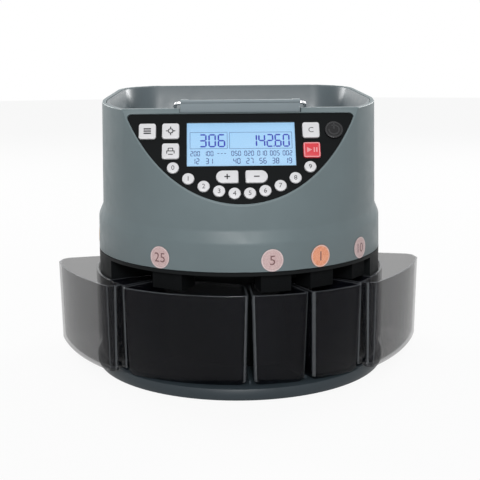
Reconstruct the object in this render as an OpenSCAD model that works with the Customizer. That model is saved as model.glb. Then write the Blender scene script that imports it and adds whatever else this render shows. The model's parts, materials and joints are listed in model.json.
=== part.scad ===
// Desk-top coin sorting machine: a round-fronted housing with a hopper, a tilted key panel,
// a motor-driven sorting disc and five coin cups that pull out of the base.
// Millimetres. X to the right, Y to the back, Z up; the origin is on the ground under the middle.

/* [Housing] */
// Radius of the round front where the upper housing meets the lower one
front_r = 139; // [134:1:144]
// Radius of the two rear corners
corner_r = 52; // [46:1:58]
// How far the straight sides at the back stand inside the round front
side_in = 5; // [3:0.5:8]
// Height of the top of the lower housing
lower_h = 115; // [112:1:120]
// Wall thickness of the moulded housings
wall = 2.5; // [2:0.1:3.5]
// Slope of the highlight band and of the hopper rim, rising to the back
tilt = 3.8; // [2:0.1:5]
// Height of the lower edge of the highlight band, at the middle
band_z = 149; // [146:1:153]
// Height of the highlight band
band_h = 10.5; // [8:0.5:13]
// Height of the hopper rim, at the middle
rim_z = 258.1; // [250:1:266]
// How far the collar draws in up to the band
collar_draft = 0.8; // [0.4:0.1:1.5]
// How far the body above the band stands inside the collar's foot
band_inset = 5.3; // [4:0.1:6.5]
// How far the rim stands inside the collar's foot
rim_inset = 7.5; // [6.6:0.1:9]
// Width of the housing's lip round the hopper
lip_w = 4; // [3:0.1:5]
// Gap between the upper and the lower housing
parting = 0.4; // [0.2:0.1:0.8]

/* [Base] */
// Height of the base tray
base_h = 12.3; // [11:0.1:14]
// How far the base tray stands out round the housing
base_flare = 5.2; // [4:0.1:6]
// Radius of a rubber foot
foot_r = 9; // [7:0.5:11]
// Radius of a case screw's shank
screw_r = 1.6; // [1.2:0.1:2]

/* [Key panel] */
// Lean of the key panel from the vertical
panel_tilt = 32.4; // [31:0.1:35]
// Distance from the round front back to the panel's top edge
panel_depth = 57; // [55:0.5:59]
// Thickness of the housing wall behind the panel
panel_wall = 5.1; // [4.6:0.1:6]
// How far the housing's shoulders at 45 degrees stand out of the round, above the band
shoulder = 2.8; // [1.5:0.1:3.5]
// Width of the ridge that the housing leaves round the fascia, seen from above
ridge_w = 1.6; // [1:0.1:2]
// Distance from the panel's top edge to the fascia
fascia_top = 5; // [4:0.5:6]
// Thickness of the fascia
fascia_t = 2; // [1.6:0.1:2.4]
// Depth of the fascia's face below the panel
fascia_sink = 0.6; // [0.3:0.1:0.8]
// Distance from the display window to the keys beside it
lcd_gap = 6.9; // [6:0.1:8]
// Height of the display window
lcd_h = 42.9; // [40:0.1:45]
// Distance from the panel's top edge to the display window
lcd_top = 13.3; // [13:0.1:14.5]
// Size of a square key
key_w = 15; // [14:0.1:16]
// Gap between two square keys side by side
key_space = 5.5; // [4:0.1:6]
// Distance across from the panel's corner to the middle of an outer key
key_margin = 20.3; // [20.2:0.1:22]
// Diameter of a digit key
digit_d = 10.4; // [9:0.1:11]
// Distance between digit keys, across the panel
digit_pitch = 13.3; // [13:0.1:13.6]
// How far the digit keys stand in from the fascia's lower edge, seen from above
digit_inset = 4.9; // [4.6:0.1:5.4]
// Gap from the display window down to the plus and minus keys
sign_gap = 5.1; // [4:0.1:6]
// Diameter of the power key
power_d = 16.4; // [14:0.1:17]
// Width of the plus and minus keys
sign_w = 19.2; // [17:0.1:20]
// Height of the plus and minus keys
sign_h = 11.8; // [10:0.1:12]
// How far a key stands above the fascia
key_rise = 1.4; // [1.2:0.1:2]
// Travel of a key
key_travel = 1; // [0.6:0.1:1]
// Gap round a key in the fascia
key_gap = 0.3; // [0.2:0.05:0.4]

/* [Hopper and handle] */
// Thickness of the hopper's wall
hopper_t = 2; // [1.6:0.1:3]
// Inside radius of the hopper's throat
throat_r = 58; // [50:1:64]
// Half-length of the handle's grip
grip_half = 53.5; // [45:0.5:56]
// Radius of the handle's wire
wire_r = 1.5; // [1.2:0.1:1.8]
// Play of the wire in its ears
wire_gap = 0.06; // [0.03:0.01:0.1]

/* [Coin cups] */
// Height of the cups' open tops above the ground
cup_top = 94.6; // [90:0.2:96]
// Wall thickness of a cup
cup_t = 2.2; // [1.8:0.1:2.6]
// Taper of a cup's sides from top to bottom
cup_draft = 2; // [1:0.1:2.4]
// Radius of the cups' upright corners
cup_corner = 4.5; // [3:0.5:6]
// Radius of the curve that the cups' fronts follow
cup_front_r = 178; // [176:0.5:180]
// How far that curve stands out of the round front, at the middle
cup_reach = 2; // [1:0.5:4]
// Gap between the cups' backs and the core
cup_play = 2; // [1:0.5:4]
// Gap between neighbouring cups at their tops
cup_gap = 2.4; // [2:0.1:3]
// Half-width of the recess for the cups, in degrees from the front
recess_a = 61; // [60.5:0.5:63]
// Depth of the recess for the cups, from the round front to the core
recess_depth = 54; // [53.5:0.5:56]

/* [Sorting] */
// Room round the sorting disc for the rail and the coin chutes
chute_room = 41; // [40:0.5:47]
// Thickness of the sorting disc
disc_t = 6; // [5:0.5:7]
// Thickness of the deck plate
deck_t = 3; // [2:0.5:4]
// Radius of the disc's spindle
spindle_r = 5; // [4:0.1:6]
// Running play of a shaft in its bearing
shaft_gap = 0.05; // [0.02:0.01:0.1]
// Gap between the sorting disc and the rail
rail_gap = 1.5; // [1.2:0.1:3]
// Radial width of the sorting rail
rail_w = 12; // [9:0.5:13]
// Height of the sorting rail above the deck
rail_h = 13; // [12:0.5:15]
// Module of the gear teeth
gear_m = 2; // [2:1:2]
// Teeth of the disc's gear
gear_teeth = 40; // [38:1:42]
// Teeth of the motor's pinion
pinion_teeth = 12; // [12:1:13]
// Width of the gears' teeth
gear_w = 7; // [5:0.5:8]

/* [Hidden] */
$fn = 96;

skin = 0.2;                                   // thickness of a section used inside a hull
thin = 0.02;                                  // the same in the thin tray
snug = 0.02;                                  // play of two pieces that are fixed to each other
corner_x = front_r - corner_r - side_in;
corner_y = front_r - corner_r;                // rear corners end flush with the front's radius
side_a = atan2(corner_y, corner_x) - acos(corner_y / norm([corner_x, corner_y]));
slate = [0.43, 0.47, 0.49];
charcoal = [0.10, 0.11, 0.12];
smoke = [0.25, 0.26, 0.27];
keycap = [0.88, 0.88, 0.89];

foot_h = 3;                                   // the feet stand on the ground, the tray 1 mm above it
tray_z = 1;
tray_skin = 2.5;
tray_round = 5;
foot_x = front_r - 51;
foot_xy = [[-foot_x, 67 - front_r], [foot_x, 67 - front_r], [-foot_x, front_r - 47], [foot_x, front_r - 47]];
core_r = front_r - recess_depth;
boss_in = core_r - 35;
boss_xy = [[-boss_in, -boss_in], [boss_in, -boss_in], [-78, front_r - 99], [78, front_r - 99],
  [-70, front_r - 21], [70, front_r - 21]];
boss_r = 5;
boss_depth = 14;
roof_t = 3;
roof_z = lower_h - roof_t;
upper_z = lower_h + parting;

// Coin outlets, one for each size of coin, from the left, in degrees from the front
outlet_a = [-88, -29.7, 12.4, 31.6, 53.5];
// Diameters of the coins that the outlets pass
coin_d = [26.5, 24.3, 21.2, 19.1, 17.9];
coin_play = 1.5;
divider_a = [-47.6, 2.4, 25, 48];
disc_r = front_r - chute_room;
rail_r = disc_r + rail_gap;
chute_r = rail_r + rail_w + 3.2;              // inside of the coin chutes
chute_out = front_r - wall - 3;               // outside of the coin chutes
chute_wall = 1.5;
chute_z = 96.6;                               // lower ends of the chutes, above the cups
deck_z = lower_h;
deck_top = deck_z + deck_t;
deck_r = front_r - wall - 4;

disc_z = deck_top + 3;
pad_t = 1.2;
pad_r0 = 40;
disc_top = disc_z + disc_t;
bush_r = 9;
bush_flange_r = 13;
bush_flange_t = 2;
bush_z = roof_z - 6;
hub_r = 16;
hub_gap = 0.5;
hub_z = deck_z + bush_flange_t + 0.3;
gear_z = bush_z - 0.6 - gear_w;
gear_c = gear_m * (gear_teeth + pinion_teeth) / 2;
motor_r = 18;
motor_top = gear_z - 5;
gearbox_h = 24;
motor_h = motor_top - gearbox_h - base_h - 7;
bracket_t = 2.5;
motor_shaft_r = 3;
pillar_xy = [[-30, gear_c + 6], [30, gear_c + 6], [0, gear_c + 34]];
pillar_r = 3.5;

// Frame of the key panel: its own z points out of it, y up along it, from the top edge's middle
panel_y = front_r - panel_depth;
panel_z = rim_z - panel_y * tan(tilt);
panel_half = sqrt(pow(front_r - rim_inset, 2) - panel_y * panel_y);
panel_s = sin(panel_tilt);
panel_cos = cos(panel_tilt);
fascia_back = -(fascia_sink + fascia_t);
flange_t = 1;
flange_w = 0.4;
board_z = -9;
board_t = 1.6;
board_inset = 1.5;
mat_t = 1;
dome_h = 0.9;
stem_end = board_z + mat_t + dome_h + key_travel + 0.1;
// Places of the keys on the panel; the digit keys follow the fascia's lower edge
key_far = panel_half - key_margin;
key_col = key_far - key_w - key_space;
key_row1 = -22.3;
key_row2 = -42;
lcd_w = 2 * (key_col - key_w / 2 - lcd_gap);
lcd_y = -(lcd_top + lcd_h / 2);
sign_x = 12.8;
sign_y = -(lcd_top + lcd_h + sign_gap + sign_h / 2);
post_x = lcd_w / 2 + 3.6;
post_far = key_far - 6.7;
post_xy = [[-post_far, -36.5], [post_far, -36.5], [-post_x, -32.5], [post_x, -32.5], [-28.5, -66], [28.5, -66]];
post_r = 1.6;

mouth_y = panel_y - 6.8;
mid_z = 205;
mid_in = 15;
throat_z = 150;
throat_h = 8;

mouth_round = 12;
// The grip lies in a notch of the lip, its wire just behind the lip's inner edge
grip_w = 9.8;
grip_h = 11;
grip_gap = 0.6;
notch_z = panel_z - (fascia_top - 0.6) * panel_cos;
grip_z0 = notch_z + 0.2;
grip_y = 3.9 - panel_y;
wire_y = -mouth_y;
wire_z = grip_z0 + 8.2;
pivot_y = 22.6 - panel_y;
pivot_z = wire_z - 17.3;
elbow = 3.5;
arm_x = grip_half + 1.5 + elbow;
ear_x = arm_x + elbow + 0.5;
ear_w = 5;
arm_len = norm([wire_y - pivot_y, wire_z - pivot_z]);
arm_lean = atan2(pivot_y - wire_y, wire_z - pivot_z);

sticker_r = 9.9;
sticker_z = 125.5;
sticker_t = 0.45;
sticker_gap = 0.1;
sticker_turn = -1.9;                          // stickers sit a little left of their outlets

cup_c = cup_front_r - front_r - cup_reach;
cup_back = core_r + cup_play;
cup_z = base_h + 0.3;
cup_round = 3;
cup_floor = 2.2;
shell_gap = 1.8;                              // between a wing cup and the lower shell
wing_at = radial(front_r, divider_a[3] - 90);   // place on the round front from which a wing is drawn
wing_c = wing_at + [-159, 168.2];           // centre and radius of a wing's long curved side
wing_r = 247.7;
wing_a0 = -43.5;
wing_a1 = -15.2;
wing_tip = [wing_at + [77.8, 117], wing_at + [72, 121.8]];
wing_back = wing_at + [35.7, 130.2];
wing_nose = wing_at + [6.2, -5];
pocket_reach = norm(wing_nose) - 0.5;

hinge_r = 2.4;
hinge_pin_r = 1.2;
hinge_y = front_r + hinge_r + 0.2;
hinge_z = lower_h + parting / 2;
hinge_x = 58;
knuckle = 7;
leaf_t = 1.2;
leaf_h = 15;
inlet_x = -52;
port_z = 38;
inlet_size = [27.6, 20.6];
switch_size = [13.6, 20.6];
printer_size = [25.2, 11.4];
port_fit = 0.2;
switch_x = -14;
printer_x = 34;
rear_y = front_r;

// Outline of the housing seen from above, let out by off
module plan(off = 0) {
  r = front_r + off;
  c = corner_r + off;
  circle(r = r);
  for (s = [-1, 1]) translate([s * corner_x, corner_y]) circle(r = c);
  polygon([[r * cos(side_a), r * sin(side_a)], [corner_x + c * cos(side_a), corner_y + c * sin(side_a)],
    [corner_x, corner_y + c], [-corner_x, corner_y + c],
    [-corner_x - c * cos(side_a), corner_y + c * sin(side_a)], [-r * cos(side_a), r * sin(side_a)]]);
}

// The same outline as one polygon, its shoulders let out by out
module outline(off, out = 0) {
  r = front_r + off;
  c = corner_r + off;
  polygon(concat(
    [for (i = [0:64]) let (a = side_a - (180 + 2 * side_a) * (1 - i / 64), front = a < 0 && a > -180)
      radial(r + (front ? out * pow(sin(2 * a), 2) : 0), a)],
    [for (i = [1:16]) let (a = side_a + (90 - side_a) * i / 16) [corner_x, corner_y] + radial(c, a)],
    [for (i = [0:15]) let (a = 90 + (90 - side_a) * i / 16) [-corner_x, corner_y] + radial(c, a)]));
}

function radial(r, a) = [r * cos(a), r * sin(a)];

// Thin section of the housing at a height, for hulls
module section(z, off, lean = 0, out = 0, thick = skin) {
  translate([0, 0, z]) rotate([lean, 0, 0]) linear_extrude(thick) outline(off, out);
}

// Places children at an angle from the front, looking outwards along -Y
module at_angle(a) { rotate([0, 0, a]) children(); }

// Sector seen from above, from a0 to a1 degrees from the front, reaching r
module sector(a0, a1, r) {
  steps = max(2, ceil((a1 - a0) / 15));
  polygon(concat([[0, 0]],
    [for (i = [0:steps]) let (a = a0 + (a1 - a0) * i / steps) [r * sin(a), -r * cos(a)]]));
}

module on_panel() {
  translate([0, -panel_y, panel_z]) rotate([90 - panel_tilt, 0, 0]) children();
}

module rounded_rect(w, h, r) {
  for (s = [-1, 1]) {
    translate([s * (w / 2 - r), h / 2 - r]) circle(r = r, $fn = 32);
    translate([s * (w / 2 - r), r - h / 2]) circle(r = r, $fn = 32);
  }
  square([w - 2 * r, h], center = true);
  square([w, h - 2 * r], center = true);
}

// ---- base ----

module base_tray() {
  color(charcoal * 2) {
    difference() {
      hull() {
        section(tray_z, base_flare - 0.6, thick = thin);
        section(tray_z + 1.2, base_flare, thick = thin);
        section(base_h - tray_round, base_flare, thick = thin);
        section(base_h - tray_round * 0.3, base_flare - tray_round * 0.3, thick = thin);
        section(base_h - thin, base_flare - tray_round, thick = thin);
      }
      difference() {
        translate([0, 0, tray_z - 1]) linear_extrude(base_h - tray_skin - tray_z + 1) outline(base_flare - wall);
        for (p = foot_xy) translate([p[0], p[1], foot_h]) cylinder(r = foot_r + 3, h = base_h);
        for (p = boss_xy) translate([p[0], p[1], base_h - tray_skin - 2]) cylinder(r = boss_r, h = base_h);
      }
      for (p = boss_xy) translate([p[0], p[1], 0]) cylinder(r = screw_r + 0.2, h = base_h + 1);
    }
    // Ribs between the cups
    for (a = divider_a) at_angle(a) translate([-1, 6 - front_r, base_h - 1]) cube([2, front_r - cup_back - 8, 4]);
  }
}

module rubber_feet() {
  color("dimgray") for (p = foot_xy) translate([p[0], p[1], 0]) cylinder(r = foot_r, h = foot_h);
}

module case_screws() {
  head_z = base_h - tray_skin - 4;
  color("silver") for (p = boss_xy) translate([p[0], p[1], 0]) {
    translate([0, 0, head_z]) difference() {
      cylinder(r = screw_r * 2, h = 2);
      translate([0, 0, -1]) cylinder(r = screw_r, h = 1.8, $fn = 6);
    }
    translate([0, 0, head_z + 2]) cylinder(r = screw_r, h = boss_depth);
  }
}

module recess(r0, r1) {
  difference() {
    sector(-recess_a, recess_a, r1 * 1.6);
    circle(r = r0);
  }
}

module lower_shell() {
  h = roof_z - base_h;
  color(charcoal) difference() {
    union() {
      // Outer wall, open at the front where the cups stand
      translate([0, 0, base_h]) linear_extrude(h) difference() {
        plan(0);
        plan(-wall);
        recess(core_r, front_r);
      }
      // Core wall and the two walls that close the recess
      translate([0, 0, base_h]) linear_extrude(h) intersection() {
        difference() { circle(r = core_r); circle(r = core_r - wall); }
        sector(-recess_a - 1.7, recess_a + 1.7, front_r);
      }
      for (s = [-1, 1]) at_angle(s * recess_a)
        translate([s > 0 ? 0 : -wall, -front_r + 0.4, base_h]) cube([wall, front_r - core_r + wall - 0.4, h]);
      translate([0, 0, roof_z]) linear_extrude(roof_t) plan(0);
      for (p = boss_xy) translate([p[0], p[1], base_h]) cylinder(r = boss_r, h = h);
    }
    for (p = boss_xy) translate([p[0], p[1], base_h - 1]) cylinder(r = screw_r + 0.1, h = boss_depth + 2);
    translate([0, 0, roof_z - 1]) cylinder(r = bush_r + 0.05, h = roof_t + 2);
    for (i = [0:4]) chute_hole(i, roof_z - 1, roof_t + 2);
    // Window that lets the largest coins out into the left wing cup
    at_angle(outlet_a[0]) translate([-coin_d[0] / 2 - coin_play, -front_r - 5, chute_z + 0.4])
      cube([coin_d[0] + 2 * coin_play, 12, roof_z - chute_z - 2]);
    // Rear openings
    port_hole(inlet_x, inlet_size);
    port_hole(switch_x, switch_size);
    port_hole(printer_x, printer_size);
    for (i = [0:6]) translate([-60 + i * 20 - 6, rear_y - 10, 84]) cube([12, 20, 3]);
    for (i = [0:6]) translate([-60 + i * 20 - 6, rear_y - 10, 91]) cube([12, 20, 3]);
  }
}

// Hole in the rear wall for a socket, and the body of the piece that fills it
module port_hole(x, size) {
  translate([x, rear_y, port_z]) cube([size[0] + 2 * port_fit, 20, size[1] + 2 * port_fit], center = true);
}

module port_body(size, depth) {
  translate([-size[0] / 2, -depth, -size[1] / 2]) cube([size[0], depth, size[1]]);
}

module chute_hole(i, z, h) {
  w = coin_d[i] + 2 * coin_play;
  at_angle(outlet_a[i]) translate([-w / 2, -chute_out, z]) cube([w, chute_out - chute_r, h]);
}

module deck_plate() {
  color("silver") difference() {
    translate([0, 0, deck_z]) cylinder(r = deck_r, h = deck_t);
    translate([0, 0, deck_z - 1]) cylinder(r = hub_r + hub_gap, h = deck_t + 2);
    for (i = [0:4]) chute_hole(i, deck_z - 1, deck_t + 2);
  }
}

module sorting_rail() {
  color("gainsboro") translate([0, 0, deck_top]) difference() {
    cylinder(r = rail_r + rail_w, h = rail_h);
    translate([0, 0, -1]) cylinder(r = rail_r, h = rail_h + 2);
    // Gates, each as wide as its coin
    for (i = [0:4]) at_angle(outlet_a[i])
      translate([-(coin_d[i] + coin_play) / 2, -rail_r - rail_w - 1, disc_top - deck_top])
        cube([coin_d[i] + coin_play, rail_w + 2, rail_h]);
  }
}

module coin_chutes() {
  color(charcoal) for (i = [0:4]) {
    w = coin_d[i] + 2 * coin_play + 2 * chute_wall;
    z0 = i == 0 ? roof_z - 4 : chute_z;
    difference() {
      at_angle(outlet_a[i]) translate([-w / 2, -chute_out - chute_wall, z0])
        cube([w, chute_out - chute_r + 2 * chute_wall, roof_z - z0]);
      chute_hole(i, z0 - 1, roof_z - z0 + 2);
    }
  }
  // Slide that carries the largest coins out through the shell's window
  color(charcoal) at_angle(outlet_a[0]) rotate([90, 0, 90])
    translate([0, 0, -coin_d[0] / 2]) linear_extrude(coin_d[0])
      polygon([[-front_r + wall + 0.5, chute_z + 1], [-front_r + wall + 0.5, chute_z + 2.6],
        [-chute_r + 1, roof_z - 4], [-chute_r + chute_wall, roof_z - 4], [-chute_r + chute_wall, chute_z + 6]]);
}

module count_sensors() {
  color("darkgreen") for (i = [0:4])
    at_angle(outlet_a[i] + (i == 0 ? 11 : 8.6)) translate([-4, -rail_r - rail_w - 8.3, deck_top]) cube([8, 8, 9]);
}

module spindle_bearing() {
  color("goldenrod") difference() {
    union() {
      translate([0, 0, bush_z]) cylinder(r = bush_r, h = deck_z - bush_z);
      translate([0, 0, deck_z]) cylinder(r = bush_flange_r, h = bush_flange_t);
    }
    translate([0, 0, bush_z - 1]) cylinder(r = spindle_r + shaft_gap, h = 30);
  }
}

module motor_bracket() {
  color("silver") difference() {
    union() {
      translate([-36, gear_c - 26, motor_top]) cube([72, 66, bracket_t]);
      for (p = pillar_xy) translate([p[0], p[1], motor_top]) cylinder(r = pillar_r, h = roof_z - motor_top);
    }
    translate([0, gear_c, motor_top - 1]) cylinder(r = 7, h = bracket_t + 2);
  }
}

module drive_motor() {
  color("dimgray") translate([0, gear_c, motor_top]) difference() {
    union() {
      translate([0, 0, -gearbox_h]) cylinder(r = motor_r, h = gearbox_h);
      translate([0, 0, -gearbox_h - motor_h]) cylinder(r = motor_r - 1.5, h = motor_h);
    }
    translate([0, 0, -12]) cylinder(r = motor_shaft_r + shaft_gap, h = 14);
  }
}

// Angle between the middle of a tooth and its flank at radius r, for a gear with n teeth
function involute(a) = tan(a) * 180 / PI - a;
function flank_a(n, r) = let (rb = gear_m * n / 2 * cos(20))
  90 / n - 0.9 * 12 / n + involute(20) - (r > rb ? involute(acos(rb / r)) : 0);

module gear(n, turn) {
  rp = gear_m * n / 2;
  radii = [rp - 1.25 * gear_m, max(rp - 1.25 * gear_m + 0.2, rp * cos(20)), rp, rp + 0.5 * gear_m, rp + 0.9 * gear_m];
  rotate([0, 0, turn]) linear_extrude(gear_w) polygon([for (i = [0:n - 1], k = [0:9])
    let (r = radii[k < 5 ? k : 9 - k], s = k < 5 ? -1 : 1, a = 360 / n * i + s * flank_a(n, r)) [r * cos(a), r * sin(a)]]);
}

module drive_gear() {
  color("ivory") difference() {
    translate([0, 0, gear_z]) gear(gear_teeth, 90);
    translate([0, 0, gear_z - 1]) cylinder(r = spindle_r + snug, h = gear_w + 2);
  }
}

module motor_pinion() {
  color("silver") {
    translate([0, gear_c, gear_z]) gear(pinion_teeth, 90 + 180 / pinion_teeth + (pinion_teeth % 2) * 180);
    translate([0, gear_c, motor_top - 11]) cylinder(r = motor_shaft_r, h = gear_z + gear_w + 3 - motor_top + 11);
  }
}

module disc_spindle() {
  color("silver") {
    translate([0, 0, gear_z - 2]) cylinder(r = spindle_r, h = disc_top + 8 - gear_z + 2);
    translate([0, 0, gear_z - 2]) cylinder(r = spindle_r + 3, h = 2);
  }
}

module sorting_disc() {
  color("lightgray") difference() {
    union() {
      translate([0, 0, disc_z]) cylinder(r = disc_r, h = disc_t);
      translate([0, 0, hub_z]) cylinder(r = hub_r, h = disc_z - hub_z);
    }
    translate([0, 0, hub_z - 1]) cylinder(r = spindle_r + snug, h = 20);
  }
}

module disc_pad() {
  color([0.2, 0.2, 0.2]) translate([0, 0, disc_top]) difference() {
    cylinder(r = disc_r - 0.5, h = pad_t);
    translate([0, 0, -1]) cylinder(r = pad_r0, h = pad_t + 2);
    for (i = [0:23]) rotate([0, 0, i * 15]) translate([pad_r0 + 8, -0.8, pad_t / 2]) cube([disc_r - pad_r0 - 14, 1.6, pad_t]);
  }
}

module disc_knob() {
  color("dimgray") difference() {
    translate([0, 0, disc_top]) rotate_extrude()
      polygon([[0, 0], [24, 0], [24, 2], [14, 7], [6, 11.5], [0, 12.5]]);
    translate([0, 0, disc_top - 1]) cylinder(r = spindle_r + snug, h = 9.5);
  }
}

module main_board() {
  color("darkgreen") translate([66, front_r - 55, base_h]) {
    for (x = [-34, 34], y = [-24, 24]) translate([x, y, 0]) cylinder(r = 3, h = 10);
    translate([-40, -30, 10]) cube([80, 60, board_t]);
  }
  color("dimgray") translate([66, front_r - 55, base_h + 10 + board_t]) {
    translate([-20, -12, 0]) cube([18, 14, 2.4]);
    translate([8, 8, 0]) cylinder(r = 6, h = 16);
    translate([24, 8, 0]) cylinder(r = 6, h = 16);
    translate([-32, 14, 0]) cube([22, 6, 8]);
  }
}

module transformer() {
  color("sienna") translate([-66, front_r - 55, base_h]) {
    translate([-27, -23, 0]) cube([54, 46, 3]);
    translate([-24, -20, 3]) cube([48, 40, 40]);
    translate([-16, -27, 8]) cube([32, 7, 30]);
    translate([-16, 20, 8]) cube([32, 7, 30]);
  }
}

module power_inlet() {
  color([0.05, 0.05, 0.05]) translate([inlet_x, rear_y, port_z]) difference() {
    union() {
      port_body(inlet_size, 18);
      translate([-18, 0, -13]) cube([36, 2, 26]);
    }
    translate([-11, -14, -7.5]) cube([22, 17, 15]);
  }
  color("silver") for (p = [[-6.5, -1.5], [0, 2.5], [6.5, -1.5]])
    translate([inlet_x + p[0] - 1, rear_y - 15, port_z + p[1] - 2]) cube([2, 13, 4]);
}

module switch_frame() {
  color([0.05, 0.05, 0.05]) translate([switch_x, rear_y, port_z]) difference() {
    union() {
      port_body(switch_size, 14);
      translate([-9, 0, -13]) cube([18, 2, 26]);
    }
    translate([-5.5, -12, -9]) cube([11, 15, 18]);
  }
  // Pins on which the rocker turns
  color([0.05, 0.05, 0.05]) translate([switch_x, rear_y - 3, port_z])
    for (s = [-1, 1]) translate([s * 4.9, 0, 0]) rotate([0, 90, 0]) cylinder(r = 1, h = 1.4, center = true);
}

module mains_rocker() {
  color("firebrick") difference() {
    translate([switch_x - 5.2, rear_y - 3, port_z]) rotate([90, 0, 90]) linear_extrude(10.4)
      polygon([[-3, -4], [3.2, -8.2], [5, -7.8], [3.6, 0], [6.6, 7.4], [3.2, 8.2], [-3, 4]]);
    translate([switch_x, rear_y - 3, port_z]) rotate([0, 90, 0]) cylinder(r = 1.06, h = 30, center = true);
  }
}

module printer_port() {
  color("silver") translate([printer_x, rear_y, port_z]) difference() {
    union() {
      port_body(printer_size, 12);
      translate([-16.5, 0, -6.5]) cube([33, 1, 13]);
      translate([-9, 1, -4.2]) cube([18, 4, 8.4]);
    }
    translate([-8, -6, -3.4]) cube([16, 12, 6.8]);
    for (s = [-1, 1]) translate([s * 12.5, 2, 0]) rotate([90, 0, 0]) cylinder(r = 1.5, h = 6);
  }
  color("silver") for (i = [0:8])
    translate([printer_x - 6.4 + i * 1.6, rear_y + 3, port_z + (i % 2) * 2.4 - 1.2]) rotate([90, 0, 0]) cylinder(r = 0.4, h = 9);
}

// ---- hinge at the back ----

module knuckle_at(x0, x1) {
  translate([x0, hinge_y, hinge_z]) rotate([0, 90, 0]) cylinder(r = hinge_r, h = x1 - x0);
}

module hinge_lower_leaves() {
  color("silver") for (s = [-1, 1]) translate([s * hinge_x, 0, 0]) difference() {
    union() {
      for (x = [-1.5 * knuckle, 0.5 * knuckle]) {
        knuckle_at(x, x + knuckle);
        translate([x, rear_y, lower_h - leaf_h]) cube([knuckle, leaf_t, leaf_h]);
      }
      translate([-1.5 * knuckle, rear_y, lower_h - leaf_h]) cube([3 * knuckle, leaf_t, leaf_h - 4]);
    }
    translate([-20, hinge_y, hinge_z]) rotate([0, 90, 0]) cylinder(r = hinge_pin_r + shaft_gap, h = 40);
    for (x = [-6, 6]) translate([x, rear_y + 3, lower_h - 9.5]) rotate([90, 0, 0]) cylinder(r = 1.2, h = 5);
  }
}

module hinge_upper_leaves() {
  color("silver") for (s = [-1, 1]) translate([s * hinge_x, 0, 0]) difference() {
    union() {
      knuckle_at(-0.5 * knuckle + 0.2, 0.5 * knuckle - 0.2);
      translate([-0.5 * knuckle + 0.2, rear_y + 0.1, upper_z]) cube([knuckle - 0.4, leaf_t, leaf_h]);
      translate([-1.5 * knuckle, rear_y + 0.1, upper_z + 4.5]) cube([3 * knuckle, leaf_t, leaf_h - 4.5]);
    }
    translate([-20, hinge_y, hinge_z]) rotate([0, 90, 0]) cylinder(r = hinge_pin_r + shaft_gap, h = 40);
    for (x = [-6, 6]) translate([x, rear_y + 3, upper_z + 9.5]) rotate([90, 0, 0]) cylinder(r = 1.2, h = 5);
  }
}

module hinge_pins() {
  color("gainsboro") for (s = [-1, 1]) translate([s * hinge_x, hinge_y, hinge_z]) rotate([0, 90, 0]) {
    translate([0, 0, -1.5 * knuckle]) cylinder(r = hinge_pin_r, h = 3 * knuckle);
    for (k = [-1.5 * knuckle - 1, 1.5 * knuckle]) translate([0, 0, k]) cylinder(r = hinge_r - 0.4, h = 1);
  }
}

// ---- upper housing ----

module housing_body() {
  hull() { section(upper_z, 0); section(band_z, -collar_draft, tilt); }
  hull() { section(band_z, -collar_draft, tilt); section(band_z + band_h, -band_inset, tilt, shoulder); }
  hull() { section(band_z + band_h, -band_inset, tilt, shoulder); section(rim_z, -rim_inset, tilt, shoulder); }
}

module housing_hollow() {
  hull() { section(upper_z - 1, -wall); section(band_z - 3, -wall - band_inset, tilt); }
  hull() { section(band_z - 3, -wall - band_inset, tilt); section(rim_z + 2, -rim_inset - lip_w, tilt, shoulder); }
}

module panel_side(z, out) {
  on_panel() translate([-200, -250, out > 0 ? z : z - 100]) cube([400, 500, 100]);
}

// Outline of the fascia on the panel, drawn in by i: its lower edge runs a ridge's width
// inside the housing's own edge, its upper corners are round
function edge_y(a, i) = let (slope = (rim_inset - band_inset) / (rim_z - band_z - band_h) * cos(panel_tilt))
  (panel_y - (front_r - rim_inset - ridge_w - i + shoulder * pow(sin(2 * a), 2)) * cos(a)) / (panel_s - slope * cos(a));
function edge_at(a, i) = let (y = edge_y(a, i)) [(panel_y - panel_s * y) * tan(a), y];

module fascia_shape(i, top_in = 0) {
  top = -fascia_top - top_in;
  rr = 4;
  reach = front_r - rim_inset - ridge_w - i + shoulder;
  a_end = acos((panel_y - panel_s * (top - 1.2 * rr)) / (reach + 0.1));
  e = edge_at(a_end, i);
  c = [e[0] - rr * 0.94, top - rr];
  polygon(concat([for (k = [-24:24]) edge_at(a_end * k / 24, i)],
    [for (k = [0:5]) c + radial(rr, 90 * k / 5)],
    [for (k = [0:5]) [-c[0], c[1]] + radial(rr, 90 + 90 * k / 5)]));
}

// Notch in the lip where the grip lies
module grip_notch() {
  translate([-grip_half - grip_gap, -panel_y - 10, notch_z]) cube([2 * (grip_half + grip_gap), 30, 40]);
}

module upper_shell() {
  color(slate) difference() {
    housing_body();
    difference() {
      housing_hollow();
      panel_side(-panel_wall, 1);
    }
    panel_side(0, 1);
    grip_notch();
    on_panel() translate([0, 0, fascia_back]) linear_extrude(20) fascia_shape(-0.2, -0.2);
    on_panel() translate([0, 0, -panel_wall - 8]) linear_extrude(20) intersection() {
      fascia_shape(0.1);
      union() {
        fascia_shape(3, 3);
        all_keys(0.7);
      }
    }
  }
}

module mouth(inset, r = 0) {
  offset(r = r, $fn = 48) offset(delta = -r) intersection() {
    outline(-rim_inset - lip_w - 0.3 - inset, shoulder);
    translate([-200, -mouth_y + inset]) square([400, 400]);
  }
}

module bowl_outside() {
  hull() {
    translate([0, 0, rim_z - 0.8]) rotate([tilt, 0, 0]) linear_extrude(skin) mouth(0);
    translate([0, 0, mid_z]) linear_extrude(skin) mouth(mid_in, mouth_round);
  }
  hull() {
    translate([0, 0, mid_z]) linear_extrude(skin) mouth(mid_in, mouth_round);
    translate([0, 0, throat_z]) cylinder(r = throat_r + hopper_t, h = skin);
  }
}

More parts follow.
